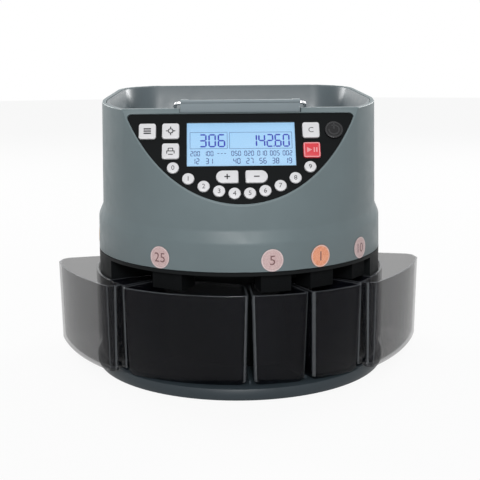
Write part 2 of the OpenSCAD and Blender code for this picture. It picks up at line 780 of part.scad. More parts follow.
module bowl_inside() {
  hull() {
    translate([0, 0, rim_z + 2]) rotate([tilt, 0, 0]) linear_extrude(skin) mouth(hopper_t, mouth_round);
    translate([0, 0, mid_z]) linear_extrude(skin) mouth(mid_in + hopper_t, mouth_round);
  }
  hull() {
    translate([0, 0, mid_z]) linear_extrude(skin) mouth(mid_in + hopper_t, mouth_round);
    translate([0, 0, throat_z]) cylinder(r = throat_r, h = skin);
  }
}

module hopper_bowl() {
  color(slate) difference() {
    union() {
      difference() {
        bowl_outside();
        bowl_inside();
      }
      translate([0, 0, throat_z - throat_h]) cylinder(r = throat_r + hopper_t, h = throat_h + 1);
      // Ears that hold the handle's wire
      for (s = [-1, 1]) translate([s > 0 ? ear_x : -ear_x - ear_w, 2.9 - mouth_y, pivot_z - 5])
        cube([ear_w, mouth_y + pivot_y + 1.6, 10]);
    }
    grip_notch();
    translate([0, 0, throat_z - throat_h - 1]) cylinder(r = throat_r, h = throat_h + 5);
    translate([0, pivot_y, pivot_z]) rotate([0, 90, 0]) cylinder(r = wire_r + wire_gap, h = 2 * ear_x + 2 * ear_w + 2, center = true);
    // Grooves for the wire's arms where they pass the lip
    translate([0, pivot_y, pivot_z]) rotate([90 + arm_lean, 0, 0]) for (s = [-1, 1])
      translate([s * arm_x, arm_len / 2, 0]) rotate([-90, 0, 0]) cylinder(r = wire_r + 0.6, h = arm_len / 2);
  }
}

module at_key(x, y) { on_panel() translate([x, y, 0]) children(); }

module all_keys(grow) {
  for (i = [0:9]) translate(digit_at(i)) circle(d = digit_d + 2 * grow);
  for (p = [[-key_far, key_row1], [-key_col, key_row1], [-key_col, key_row2], [key_col, key_row1], [key_col, key_row2]])
    translate(p) rounded_rect(key_w + 2 * grow, key_w + 2 * grow, 2.2 + grow);
  translate([key_far, key_row1]) circle(d = power_d + 2 * grow);
  for (s = [-1, 1]) translate([s * sign_x, sign_y]) mirror([s < 0 ? 0 : 1, 0]) sign_shape(grow);
}

// Point at x on the fascia's edge drawn in by i, found in a few steps
function along_edge(x, i, n = 8, a = 20) =
  n == 0 ? edge_y(a, i) : along_edge(x, i, n - 1, atan(x / (panel_y - panel_s * edge_y(a, i))));
function digit_at(i) = let (x = (i - 4.5) * digit_pitch) [x, along_edge(abs(x), digit_inset)];

// Key with a half-round left end
module sign_shape(grow) {
  h = sign_h + 2 * grow;
  translate([-sign_w / 2 + sign_h / 2, 0]) circle(d = h);
  translate([-sign_w / 2 + sign_h / 2, -h / 2]) square([sign_w - sign_h / 2 + grow - 1.5, h]);
  translate([-sign_w / 2 + sign_h / 2, -h / 2 + 1.5]) square([sign_w - sign_h / 2 + grow, h - 3]);
  for (s = [-1, 1]) translate([sign_w / 2 + grow - 1.5, s * (h / 2 - 1.5)]) circle(r = 1.5, $fn = 32);
}

module fascia_plate() {
  color([0.11, 0.11, 0.12]) on_panel() {
    translate([0, 0, fascia_back]) linear_extrude(fascia_t) difference() {
      fascia_shape(0.1);
      all_keys(key_gap);
      translate([0, lcd_y]) square([lcd_w + 0.4, lcd_h + 0.4], center = true);
    }
    for (p = post_xy) translate([p[0], p[1], board_z]) cylinder(r = post_r, h = fascia_back - board_z);
  }
}

module lcd_window() {
  color([0.6, 0.8, 1, 0.5]) on_panel() translate([-lcd_w / 2, lcd_y - lcd_h / 2, fascia_back]) cube([lcd_w, lcd_h, fascia_t]);
}

module lcd_module() {
  color([0.5, 0.72, 0.95]) on_panel()
    translate([-lcd_w / 2 - 1.2, lcd_y - lcd_h / 2 - 1.2, board_z]) cube([lcd_w + 2.4, lcd_h + 2.4, fascia_back - board_z - 0.15]);
}

module key_board() {
  color("darkgreen") on_panel() translate([0, 0, board_z - board_t]) linear_extrude(board_t) fascia_shape(board_inset, 7);
}

module dome_mat() {
  color("gainsboro") on_panel() {
    translate([0, 0, board_z]) linear_extrude(mat_t) difference() {
      fascia_shape(board_inset + 0.5, 8);
      translate([0, lcd_y]) square([lcd_w + 3, lcd_h + 3], center = true);
      for (p = post_xy) translate(p) circle(r = post_r + 0.6);
    }
    for (i = [0:9]) translate([digit_at(i)[0], digit_at(i)[1], board_z]) cylinder(d = 6, h = mat_t + dome_h);
    for (p = [[-key_far, key_row1], [-key_col, key_row1], [-key_col, key_row2], [key_col, key_row1],
              [key_col, key_row2], [key_far, key_row1], [-sign_x, sign_y], [sign_x, sign_y]])
      translate([p[0], p[1], board_z]) cylinder(d = 7, h = mat_t + dome_h);
  }
}

// A key: its outline is the child, let out for the flange that holds it behind the fascia
module key_body(stem_d) {
  translate([0, 0, fascia_back - 0.1]) linear_extrude(key_rise - fascia_sink - fascia_back + 0.1) children(0);
  translate([0, 0, fascia_back - 0.1 - flange_t]) linear_extrude(flange_t) children(1);
  translate([0, 0, stem_end]) cylinder(d = stem_d, h = fascia_back - 0.1 - flange_t - stem_end);
}

module digit_key(i) {
  p = digit_at(i);
  color(keycap) at_key(p[0], p[1]) key_body(5) {
    circle(d = digit_d);
    circle(d = digit_d + 2 * flange_w);
  }
}

module square_key(x, y, tint) {
  color(tint) at_key(x, y) key_body(8) {
    rounded_rect(key_w, key_w, 2.2);
    rounded_rect(key_w + 2 * flange_w, key_w + 2 * flange_w, 2.2 + flange_w);
  }
}

module sign_key(s) {
  color(keycap) at_key(s * sign_x, sign_y) mirror([s < 0 ? 0 : 1, 0]) key_body(6) {
    sign_shape(0);
    sign_shape(flange_w);
  }
}

module power_key() {
  color([0.08, 0.08, 0.08]) at_key(key_far, key_row1) key_body(8) {
    circle(d = power_d);
    circle(d = power_d + 2 * flange_w);
  }
}

module coin_stickers() {
  z0 = upper_z - 0.5;
  h = 2 * sticker_r + 3;
  // The collar draws in towards the band
  drop = collar_draft * h / (band_z - upper_z);
  r0 = front_r + sticker_gap;
  color("lightpink") for (a = outlet_a) intersection() {
    translate([0, 0, z0]) difference() {
      cylinder(r1 = r0 + sticker_t, r2 = r0 + sticker_t - drop, h = h);
      translate([0, 0, -1]) cylinder(r1 = r0 + drop / h, r2 = r0 - drop - drop / h, h = h + 2);
    }
    at_angle(a + sticker_turn) translate([0, 0, sticker_z]) rotate([90, 0, 0]) cylinder(r = sticker_r, h = 2 * front_r);
  }
}

// ---- handle ----

// Wire of the handle, lying flat: x across the machine, y from the ears up to the grip
module half_wire() {
  translate([arm_x + elbow, 0, 0]) rotate([0, 90, 0]) cylinder(r = wire_r, h = ear_x + ear_w - arm_x - elbow);
  translate([arm_x + elbow, elbow, 0]) rotate([0, 0, 180]) rotate_extrude(angle = 90) translate([elbow, 0]) circle(r = wire_r, $fn = 32);
  translate([arm_x, elbow, 0]) rotate([-90, 0, 0]) cylinder(r = wire_r, h = arm_len - 2 * elbow);
  translate([arm_x - elbow, arm_len - elbow, 0]) rotate_extrude(angle = 90) translate([elbow, 0]) circle(r = wire_r, $fn = 32);
  translate([grip_half - 6, arm_len, 0]) rotate([0, 90, 0]) cylinder(r = wire_r, h = arm_x - elbow - grip_half + 6);
}

module handle_wire() {
  color("gainsboro") translate([0, pivot_y, pivot_z]) rotate([90 + arm_lean, 0, 0]) {
    half_wire();
    mirror([1, 0, 0]) half_wire();
  }
}

module handle_grip() {
  color(slate) difference() {
    union() {
      translate([-grip_half, grip_y - grip_w / 2 + 1, grip_z0]) cube([2 * grip_half, grip_w - 1, grip_h - 2.2]);
      translate([-grip_half, grip_y - grip_w / 2, grip_z0 + grip_h - 2.2]) cube([2 * grip_half, grip_w, 2.2]);
      for (x = [-grip_half, grip_half - 7]) translate([x, grip_y - grip_w / 2, grip_z0 + grip_h]) cube([7, grip_w, 0.6]);
    }
    for (s = [-1, 1]) translate([s * (grip_half - 2), wire_y, wire_z]) rotate([0, 90, 0])
      cylinder(r = wire_r + snug, h = 8, center = true);
  }
}

// ---- coin cups ----

// Distance from the middle to the curve of the cups' fronts, at an angle from the front
function front_reach(a) = -cup_c * cos(a) + sqrt(cup_front_r * cup_front_r - pow(cup_c * sin(a), 2));

// Outline of a cup between two dividers, at the tops, drawn in by inset
module cup_outline(a0, a1, inset) {
  half = (a1 - a0) / 2;
  r_in = cup_back / cos(half);
  offset(r = cup_corner, $fn = 32) offset(delta = -inset - cup_corner)
    polygon(concat([[r_in * sin(a1), -r_in * cos(a1)], [r_in * sin(a0), -r_in * cos(a0)]],
      [for (i = [0:10]) let (a = a0 + (a1 - a0) * i / 10) [front_reach(a) * sin(a), -front_reach(a) * cos(a)]]));
}

module cup_taper(in, floor_z, top_z) {
  hull() {
    translate([0, 0, floor_z]) linear_extrude(skin) children(2);
    translate([0, 0, floor_z + cup_round]) linear_extrude(skin) children(1);
    translate([0, 0, top_z - skin]) linear_extrude(skin) children(0);
  }
}

module front_cup(a0, a1) {
  color(smoke) difference() {
    cup_taper(0, cup_z, cup_top) {
      cup_outline(a0, a1, cup_gap / 2);
      cup_outline(a0, a1, cup_gap / 2 + cup_draft);
      cup_outline(a0, a1, cup_gap / 2 + cup_draft + cup_round * 0.7);
    }
    cup_taper(0, cup_z + cup_floor, cup_top + 1) {
      cup_outline(a0, a1, cup_gap / 2 + cup_t);
      cup_outline(a0, a1, cup_gap / 2 + cup_draft + cup_t);
      cup_outline(a0, a1, cup_gap / 2 + cup_draft + cup_t + cup_round * 0.7);
    }
  }
}

// Outline of a wing cup outside the lower shell, for the right side
module wing_outline(inset) {
  offset(r = cup_corner, $fn = 32) offset(delta = -inset - cup_corner)
    polygon(concat([wing_nose],
      [for (i = [0:12]) let (a = wing_a0 + (wing_a1 - wing_a0) * i / 12) [wing_c[0] + wing_r * cos(a), wing_c[1] + wing_r * sin(a)]],
      wing_tip, [wing_back]));
}

module pocket_outline(a0, inset) {
  a1 = recess_a - 0.8;
  r_in = cup_back + 1;
  offset(r = 2, $fn = 32) offset(delta = -inset - 2) polygon([
    [r_in * sin(a1), -r_in * cos(a1)], [r_in * sin(a0), -r_in * cos(a0)],
    [pocket_reach * sin(a0), -pocket_reach * cos(a0)], [pocket_reach * sin(a1), -pocket_reach * cos(a1)]]);
}

module wing_cup(a0) {
  shell_r = front_r + shell_gap;
  side = cup_gap / 2;
  color(smoke) difference() {
    union() {
      difference() {
        cup_taper(0, cup_z, cup_top) {
          wing_outline(0);
          wing_outline(cup_draft / 2);
          wing_outline(cup_draft / 2 + cup_round * 0.7);
        }
        translate([0, 0, cup_z - 1]) cylinder(r = shell_r, h = cup_top);
      }
      cup_taper(0, cup_z, cup_top) {
        pocket_outline(a0, side);
        pocket_outline(a0, side + cup_draft);
        pocket_outline(a0, side + cup_draft + cup_round * 0.7);
      }
    }
    difference() {
      cup_taper(0, cup_z + cup_floor, cup_top + 1) {
        wing_outline(cup_t);
        wing_outline(cup_t + cup_draft / 2);
        wing_outline(cup_t + cup_draft / 2 + cup_round * 0.7);
      }
      translate([0, 0, cup_z - 1]) cylinder(r = shell_r + cup_t, h = cup_top + 5);
    }
    cup_taper(0, cup_z + cup_floor, cup_top + 1) {
      pocket_outline(a0, side + cup_t);
      pocket_outline(a0, side + cup_t + cup_draft);
      pocket_outline(a0, side + cup_t + cup_draft + cup_round * 0.7);
    }
  }
}

module cup_1() { mirror([1, 0, 0]) wing_cup(-divider_a[0]); }
module cup_2() { front_cup(divider_a[0], divider_a[1]); }
module cup_3() { front_cup(divider_a[1], divider_a[2]); }
module cup_4() { front_cup(divider_a[2], divider_a[3]); }
module cup_5() { wing_cup(divider_a[3]); }

base_tray();
rubber_feet();
lower_shell();
case_screws();
deck_plate();
sorting_rail();
coin_chutes();
count_sensors();
spindle_bearing();
motor_bracket();
drive_motor();
motor_pinion();
disc_spindle();
drive_gear();
sorting_disc();
disc_pad();
disc_knob();
main_board();
transformer();
power_inlet();
switch_frame();
mains_rocker();
printer_port();
hinge_lower_leaves();
hinge_upper_leaves();
hinge_pins();
upper_shell();
hopper_bowl();
fascia_plate();
lcd_window();
lcd_module();
key_board();
dome_mat();
coin_stickers();
handle_wire();
handle_grip();
digit_key(0);  // key_0
digit_key(1);  // key_1
digit_key(2);  // key_2
digit_key(3);  // key_3
digit_key(4);  // key_4
digit_key(5);  // key_5
digit_key(6);  // key_6
digit_key(7);  // key_7
digit_key(8);  // key_8
digit_key(9);  // key_9
sign_key(-1);  // key_plus
sign_key(1);  // key_minus
square_key(key_col, key_row1, keycap);  // key_clear
square_key(-key_far, key_row1, keycap);  // key_batch
square_key(-key_col, key_row1, keycap);  // key_set
square_key(-key_col, key_row2, keycap);  // key_print
square_key(key_col, key_row2, "crimson");  // key_start
power_key();  // key_power
cup_1();
cup_2();
cup_3();
cup_4();
cup_5();
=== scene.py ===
"""Looks of the coin sorting machine: materials for every part, and the pieces that dress the CAD model."""

import json
import math

import bmesh
import bpy
from mathutils import Matrix, Vector

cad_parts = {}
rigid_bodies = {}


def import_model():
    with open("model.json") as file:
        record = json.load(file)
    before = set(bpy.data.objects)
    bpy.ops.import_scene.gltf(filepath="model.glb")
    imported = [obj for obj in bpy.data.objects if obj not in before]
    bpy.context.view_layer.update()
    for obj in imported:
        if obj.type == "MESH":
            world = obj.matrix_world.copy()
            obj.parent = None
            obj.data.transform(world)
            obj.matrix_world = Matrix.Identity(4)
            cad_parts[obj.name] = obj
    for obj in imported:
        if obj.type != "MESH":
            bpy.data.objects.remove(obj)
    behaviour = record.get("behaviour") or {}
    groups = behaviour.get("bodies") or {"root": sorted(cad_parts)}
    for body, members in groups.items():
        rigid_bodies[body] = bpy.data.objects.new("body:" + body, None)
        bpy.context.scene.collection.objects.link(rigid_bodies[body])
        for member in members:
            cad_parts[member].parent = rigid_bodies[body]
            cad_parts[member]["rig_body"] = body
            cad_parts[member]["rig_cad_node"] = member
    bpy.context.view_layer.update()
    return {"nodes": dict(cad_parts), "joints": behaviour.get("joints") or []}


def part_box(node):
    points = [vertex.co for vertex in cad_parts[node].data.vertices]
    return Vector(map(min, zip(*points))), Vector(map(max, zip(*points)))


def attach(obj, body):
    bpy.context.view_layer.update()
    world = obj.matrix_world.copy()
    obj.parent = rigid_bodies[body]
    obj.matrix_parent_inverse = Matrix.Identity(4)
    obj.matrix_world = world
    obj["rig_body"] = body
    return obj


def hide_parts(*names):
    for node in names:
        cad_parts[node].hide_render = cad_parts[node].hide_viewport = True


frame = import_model()

MM = 0.001
KEY_AXIS = next(joint["axis"] for joint in frame["joints"] if joint["name"] == "key_0_press")
PANEL_TOP_EDGE = (0, -0.082, 0.252654)  # middle of the key panel's top edge
PANEL = Matrix.Translation(PANEL_TOP_EDGE) @ Matrix.Rotation(math.atan2(KEY_AXIS[1], -KEY_AXIS[2]), 4, "X")
RIM_SLOPE = math.tan(math.radians(3.8))
BAND_FOOT, BAND_TOP, RIM_TOP = 149.1, 159.6, 258.2  # slanted lines round the housing at its middle, in mm
LIP_TOP = 257.4   # top of the hopper's lip, in mm
SEAM = 0.1155     # foot of the upper housing
LCD_FACE = -2.74  # top of the display module below the panel, in mm
KEY_TOP = 0.8     # top of a key above the panel, in mm
PRINT = 0.06      # thickness of a printed mark, in mm
CUP_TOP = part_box("cup_3")[1][2]
COLLAR_FOOT, COLLAR_R = 114.9, 139.1  # level and radius of the collar's lower edge, in mm
STICKERS = (-89.9, -31.6, 10.5, 29.7, 51.6)  # places of the coin stickers, in degrees from the front
STICKER_LEVEL = 125.5  # height of their middles, in mm
STICKER_R = 9.85
BEAD_R = 9.2


# ---------------------------------------------------------------- camera

def place_camera():
    heading, pitch, roll = math.radians(1.457), math.radians(11.18), math.radians(0.404)
    look = Vector((math.sin(heading) * math.cos(pitch), math.cos(heading) * math.cos(pitch),
                   -math.sin(pitch)))
    turn = look.to_track_quat("-Z", "Y") @ Matrix.Rotation(-roll, 3, "Z").to_quaternion()
    bpy.ops.object.camera_add(location=(-0.0224, -0.9167, 0.298))
    camera = bpy.context.active_object
    camera.name = "camera"
    camera.rotation_mode = "QUATERNION"
    camera.rotation_quaternion = turn
    camera.data.lens = 69.57
    camera.data.sensor_width = 36
    camera.data.clip_start = 0.05
    bpy.context.scene.camera = camera


# ---------------------------------------------------------------- bench tools

def select_only(*objects):
    if bpy.context.mode != "OBJECT":
        bpy.ops.object.mode_set(mode="OBJECT")
    bpy.ops.object.select_all(action="DESELECT")
    for o in objects:
        o.select_set(True)
    if objects:
        bpy.context.view_layer.objects.active = objects[0]


def new_piece(name):
    """Names the primitive that an operator has just added."""
    o = bpy.context.active_object
    o.name = name
    o.data.name = name
    return o


def fix_place(o):
    """Puts the piece's place into its mesh, so that its object sits at the origin."""
    select_only(o)
    bpy.ops.object.transform_apply(location=True, rotation=True, scale=True)
    return o


def pick(o, kind, test):
    """Opens the piece in edit mode with the faces, edges or vertices that pass the test selected."""
    select_only(o)
    bpy.ops.object.mode_set(mode="EDIT")
    bpy.ops.mesh.select_mode(type=kind)
    bpy.ops.mesh.select_all(action="DESELECT")
    shape = bmesh.from_edit_mesh(o.data)
    parts = {"FACE": shape.faces, "EDGE": shape.edges, "VERT": shape.verts}[kind]
    for part in parts:
        if test(part):
            part.select_set(True)
    bmesh.update_edit_mesh(o.data)


def leave_edit():
    bpy.ops.object.mode_set(mode="OBJECT")


def ease(o, test, width, segments=3):
    """Rounds the edges that pass the test."""
    pick(o, "EDGE", test)
    bpy.ops.mesh.bevel(offset=width, segments=segments, affect="EDGES", clamp_overlap=True)
    leave_edit()


def close_steps(o, test):
    """Joins the two edges of each thin step in the skin, so that the step is one edge."""
    pick(o, "VERT", test)
    bpy.ops.mesh.remove_doubles(threshold=0.25 * MM)
    leave_edit()


def smooth(o, angle):
    select_only(o)
    bpy.ops.object.shade_smooth_by_angle(angle=math.radians(angle))


def merged_copy(node, name, gap=0.02 * MM, plain=True):
    """A copy of a CAD node as one closed skin, ready to have its edges eased.

    plain clears the inner edges of its flat faces.
    """
    source = frame["nodes"][node]
    select_only()
    o = source.copy()
    o.data = source.data.copy()
    o.name = o.data.name = name
    o.parent = None
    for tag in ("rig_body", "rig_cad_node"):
        if tag in o:
            del o[tag]
    bpy.context.scene.collection.objects.link(o)
    select_only(o)
    bpy.ops.mesh.customdata_custom_splitnormals_clear()
    bpy.ops.object.mode_set(mode="EDIT")
    bpy.ops.mesh.select_all(action="SELECT")
    bpy.ops.mesh.remove_doubles(threshold=gap)
    bpy.ops.mesh.dissolve_degenerate(threshold=0.01 * MM)
    if plain:
        bpy.ops.mesh.dissolve_limited(angle_limit=math.radians(0.4))
    leave_edit()
    return o


def joined(name, pieces):
    select_only(*pieces)
    bpy.ops.object.join()
    return new_piece(name)


def stamped(source, place):
    """A copy of a small shape, with its own mesh, moved to its place."""
    o = source.copy()
    o.data = source.data.copy()
    o.data.transform(place)
    bpy.context.scene.collection.objects.link(o)
    return o


def scrap(o):
    bpy.data.objects.remove(o)


def finish_piece(o, material, body, slot, *nodes):
    o.data.materials.clear()
    o.data.materials.append(material)
    for face in o.data.polygons:
        face.material_index = 0
    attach(o, body)
    if nodes:
        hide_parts(*nodes)
    return o


def paint(o, material, test):
    """Gives the faces that pass the test a second material."""
    o.data.materials.append(material)
    pick(o, "FACE", test)
    o.active_material_index = 1
    bpy.ops.object.material_slot_assign()
    leave_edit()


def on_panel(x, y, z=0.0):
    """Place on the key panel, in mm from the middle of its top edge."""
    return PANEL @ Matrix.Translation((x * MM, y * MM, z * MM))


def panel_depth(v):
    return (PANEL.inverted() @ v.co).z


def key_middle(node):
    """Place of a key's middle on the panel, in mm."""
    flat = [PANEL.inverted() @ v.co for v in frame["nodes"][node].data.vertices]
    return [(min(p[i] for p in flat) + max(p[i] for p in flat)) / 2 / MM for i in (0, 1)]


# ---------------------------------------------------------------- materials

def start_material(name):
    material = bpy.data.materials.new(name)
    material.use_nodes = True
    nodes, links = material.node_tree.nodes, material.node_tree.links
    shader = nodes["Principled BSDF"]
    where = nodes.new("ShaderNodeTexCoord")
    return material, nodes, links, shader, where.outputs["Object"]


def noise(nodes, links, where, scale, detail=2.0, stretch=None):
    if stretch:
        mapping = nodes.new("ShaderNodeMapping")
        mapping.inputs["Scale"].default_value = stretch
        links.new(where, mapping.inputs["Vector"])
        where = mapping.outputs["Vector"]
    texture = nodes.new("ShaderNodeTexNoise")
    texture.inputs["Scale"].default_value = scale
    texture.inputs["Detail"].default_value = detail
    links.new(where, texture.inputs["Vector"])
    return texture.outputs["Fac"]


def spread(nodes, links, value, low, high, from_low=0.3, from_high=0.7):
    ranged = nodes.new("ShaderNodeMapRange")
    ranged.inputs["From Min"].default_value = from_low
    ranged.inputs["From Max"].default_value = from_high
    ranged.inputs["To Min"].default_value = low
    ranged.inputs["To Max"].default_value = high
    links.new(value, ranged.inputs["Value"])
    return ranged.outputs["Result"]


def two_tone(nodes, links, value, first, second):
    mix = nodes.new("ShaderNodeMix")
    mix.data_type = "RGBA"
    mix.inputs["A"].default_value = (*first, 1)
    mix.inputs["B"].default_value = (*second, 1)
    links.new(value, mix.inputs["Factor"])
    return mix.outputs["Result"]


def tone(colour, factor):
    return tuple(min(1.0, c * factor) for c in colour)


def relief(nodes, links, shader, height, strength, depth):
    bump = nodes.new("ShaderNodeBump")
    bump.inputs["Strength"].default_value = strength
    bump.inputs["Distance"].default_value = depth
    links.new(height, bump.inputs["Height"])
    links.new(bump.outputs["Normal"], shader.inputs["Normal"])


def moulded(name, colour, rough, grain=0.25, cloud=0.06, specular=0.5, grain_scale=1600):
    """Injection-moulded plastic: a fine eroded grain, slow changes of tone and slightly uneven gloss."""
    material, nodes, links, shader, where = start_material(name)
    cloudy = spread(nodes, links, noise(nodes, links, where, 22, 3), 0, 1)
    tint = two_tone(nodes, links, cloudy, tone(colour, 1 - cloud), tone(colour, 1 + cloud))
    links.new(tint, shader.inputs["Base Color"])
    uneven = spread(nodes, links, noise(nodes, links, where, 90, 3), rough - 0.05, rough + 0.05)
    links.new(uneven, shader.inputs["Roughness"])
    relief(nodes, links, shader, noise(nodes, links, where, grain_scale, 2), grain, 0.03 * MM)
    shader.inputs["Specular IOR Level"].default_value = specular
    return material


def brushed(name, colour, rough, stretch, scale=300):
    """Metal with fine lines from brushing or turning."""
    material, nodes, links, shader, where = start_material(name)
    lines = noise(nodes, links, where, scale, 4, stretch)
    tint = two_tone(nodes, links, lines, tone(colour, 0.88), tone(colour, 1.08))
    links.new(tint, shader.inputs["Base Color"])
    links.new(spread(nodes, links, lines, rough - 0.06, rough + 0.08), shader.inputs["Roughness"])
    relief(nodes, links, shader, lines, 0.12, 0.02 * MM)
    shader.inputs["Metallic"].default_value = 1
    return material


def smoked(name, colour, alpha, rough, specular=0.2):
    """Smoke-tinted clear plastic with faint flow marks and fine handling haze."""
    material, nodes, links, shader, where = start_material(name)
    flow = spread(nodes, links, noise(nodes, links, where, 14, 3, (1, 1, 0.25)), 0, 1)
    tint = two_tone(nodes, links, flow, tone(colour, 0.8), tone(colour, 1.25))
    links.new(tint, shader.inputs["Base Color"])
    haze = spread(nodes, links, noise(nodes, links, where, 60, 4), rough - 0.02, rough + 0.05)
    links.new(haze, shader.inputs["Roughness"])
    relief(nodes, links, shader, noise(nodes, links, where, 18, 2), 0.04, 0.4 * MM)
    shader.inputs["Alpha"].default_value = alpha
    shader.inputs["Specular IOR Level"].default_value = specular
    return material


def lit_display(name):
    """Backlit display: paler towards its lower edge, with a fine cell texture."""
    material, nodes, links, shader, where = start_material(name)
    split = nodes.new("ShaderNodeSeparateXYZ")
    links.new(where, split.inputs["Vector"])
    down = spread(nodes, links, split.outputs["Z"], 1, 0, 0.204, 0.241)
    blue = two_tone(nodes, links, down, (0.18, 0.33, 0.49), (0.22, 0.36, 0.50))
    links.new(blue, shader.inputs["Base Color"])
    links.new(blue, shader.inputs["Emission Color"])
    shader.inputs["Emission Strength"].default_value = 0.8
    shader.inputs["Specular IOR Level"].default_value = 0.2
    gloss = spread(nodes, links, noise(nodes, links, where, 200, 2), 0.45, 0.55)
    links.new(gloss, shader.inputs["Roughness"])
    relief(nodes, links, shader, noise(nodes, links, where, 3000, 1), 0.05, 0.01 * MM)
    return material


def printed(name, colour, second, speckle=900):
    """Printed film: two inks in a fine screen under a satin skin."""
    material, nodes, links, shader, where = start_material(name)
    screen = spread(nodes, links, noise(nodes, links, where, speckle, 3), 0, 1, 0.38, 0.62)
    links.new(two_tone(nodes, links, screen, colour, second), shader.inputs["Base Color"])
    gloss = spread(nodes, links, noise(nodes, links, where, 150, 2), 0.35, 0.5)
    links.new(gloss, shader.inputs["Roughness"])
    relief(nodes, links, shader, noise(nodes, links, where, 500, 3), 0.2, 0.05 * MM)
    return material


def circuit(name):
    """Green circuit board with tracks."""
    material, nodes, links, shader, where = start_material(name)
    tracks = nodes.new("ShaderNodeTexVoronoi")
    tracks.distance = "MANHATTAN"
    tracks.inputs["Scale"].default_value = 220
    links.new(where, tracks.inputs["Vector"])
    edge = spread(nodes, links, tracks.outputs["Distance"], 0, 1, 0.45, 0.55)
    green = two_tone(nodes, links, edge, (0.01, 0.12, 0.05), (0.03, 0.22, 0.09))
    links.new(green, shader.inputs["Base Color"])
    gloss = spread(nodes, links, noise(nodes, links, where, 300, 2), 0.3, 0.5)
    links.new(gloss, shader.inputs["Roughness"])
    return material


housing_grey = moulded("housing_grey", (0.136, 0.174, 0.184), 0.42, cloud=0.05, specular=0.28)
hopper_grey = moulded("hopper_grey", (0.080, 0.104, 0.116), 0.36, cloud=0.05, specular=0.5)
grip_grey = moulded("grip_grey", (0.205, 0.245, 0.265), 0.42, cloud=0.04, specular=0.4)
base_slate = moulded("base_slate", (0.026, 0.036, 0.043), 0.40, specular=0.3)
shell_charcoal = moulded("shell_charcoal", (0.0045, 0.0055, 0.006), 0.55, specular=0.1)
chute_black = moulded("chute_black", (0.0036, 0.0042, 0.0046), 0.7, specular=0.05)
fascia_black = moulded("fascia_black", (0.0030, 0.0038, 0.0042), 0.45, grain=0.1, specular=0.06)
gloss_black = moulded("gloss_black", (0.010, 0.010, 0.011), 0.16, grain=0.03, specular=0.3)
socket_black = moulded("socket_black", (0.015, 0.015, 0.016), 0.3, grain=0.1)
keycap_white = moulded("keycap_white", (0.62, 0.62, 0.635), 0.38, grain=0.08, cloud=0.02)
legend_grey = moulded("legend_grey", (0.022, 0.022, 0.026), 0.5, grain=0.05, specular=0.2)
key_red = moulded("key_red", (0.62, 0.035, 0.05), 0.3, grain=0.06, cloud=0.04)
key_pink = moulded("key_pink", (0.74, 0.30, 0.32), 0.35, grain=0.06, cloud=0.04)
power_grey = moulded("power_grey", (0.026, 0.027, 0.029), 0.3, grain=0.05, specular=0.3)
cup_smoke = smoked("cup_smoke", (0.004, 0.0045, 0.007), 0.42, 0.08)
# painted highlight: a paler, less clear smoke that stands in for lamp reflections on the cups' rims and
# front corners
cup_painted_highlight = smoked("cup_painted_highlight", (0.075, 0.082, 0.09), 0.72, 0.12, specular=0.4)
window_clear = smoked("window_clear", (0.75, 0.88, 1.0), 0.03, 0.08, specular=0.1)
display_blue = lit_display("display_blue")
segment_blue = moulded("segment_blue", (0.002, 0.012, 0.42), 0.5, grain=0.02, specular=0.1)
segment_faint = moulded("segment_faint", (0.02, 0.04, 0.24), 0.5, grain=0.02, specular=0.1)
rubber_black = moulded("rubber_black", (0.018, 0.018, 0.018), 0.8, grain=0.5, grain_scale=700, specular=0.3)
silicone_grey = moulded("silicone_grey", (0.35, 0.36, 0.37), 0.6, grain=0.1)
nylon_white = moulded("nylon_white", (0.62, 0.59, 0.50), 0.45, grain=0.1)
motor_enamel = moulded("motor_enamel", (0.05, 0.05, 0.055), 0.35, grain=0.12, grain_scale=500)
iron_varnish = moulded("iron_varnish", (0.12, 0.06, 0.035), 0.4, grain=0.4, grain_scale=900)
sheet_steel = brushed("sheet_steel", (0.55, 0.56, 0.57), 0.32, (1, 1, 14))
turned_aluminium = brushed("turned_aluminium", (0.62, 0.63, 0.64), 0.35, (1, 1, 20))
bright_chrome = brushed("bright_chrome", (0.80, 0.80, 0.82), 0.12, (1, 1, 3), scale=120)
bearing_brass = brushed("bearing_brass", (0.62, 0.46, 0.20), 0.3, (1, 1, 18))
board_green = circuit("board_green")
coin_silver = printed("coin_silver", (0.50, 0.34, 0.34), (0.60, 0.45, 0.44))
coin_copper = printed("coin_copper", (0.72, 0.26, 0.14), (0.80, 0.38, 0.24))
coin_gold = printed("coin_gold", (0.62, 0.36, 0.10), (0.72, 0.48, 0.20))
coin_rim = printed("coin_rim", (0.60, 0.50, 0.50), (0.72, 0.62, 0.62), speckle=400)
coin_ink = printed("coin_ink", (0.13, 0.06, 0.06), (0.20, 0.10, 0.10))

FINISHES = {
    "base_tray": base_slate, "rubber_feet": rubber_black, "lower_shell": shell_charcoal,
    "case_screws": sheet_steel, "deck_plate": turned_aluminium, "sorting_rail": turned_aluminium,
    "coin_chutes": chute_black, "count_sensors": board_green, "spindle_bearing": bearing_brass,
    "motor_bracket": sheet_steel, "drive_motor": motor_enamel, "motor_pinion": sheet_steel,
    "disc_spindle": sheet_steel, "drive_gear": nylon_white, "sorting_disc": turned_aluminium,
    "disc_pad": rubber_black, "disc_knob": socket_black, "main_board": board_green,
    "transformer": iron_varnish, "power_inlet": socket_black, "switch_frame": socket_black,
    "mains_rocker": key_red, "printer_port": sheet_steel, "hinge_lower_leaves": sheet_steel,
    "hinge_upper_leaves": sheet_steel, "hinge_pins": sheet_steel, "upper_shell": housing_grey,
    "hopper_bowl": hopper_grey, "fascia_plate": fascia_black, "lcd_window": window_clear,
    "lcd_module": display_blue, "key_board": board_green, "dome_mat": silicone_grey,
    "coin_stickers": coin_silver, "handle_wire": bright_chrome, "handle_grip": grip_grey,
    "key_start": key_red, "key_power": gloss_black,
}
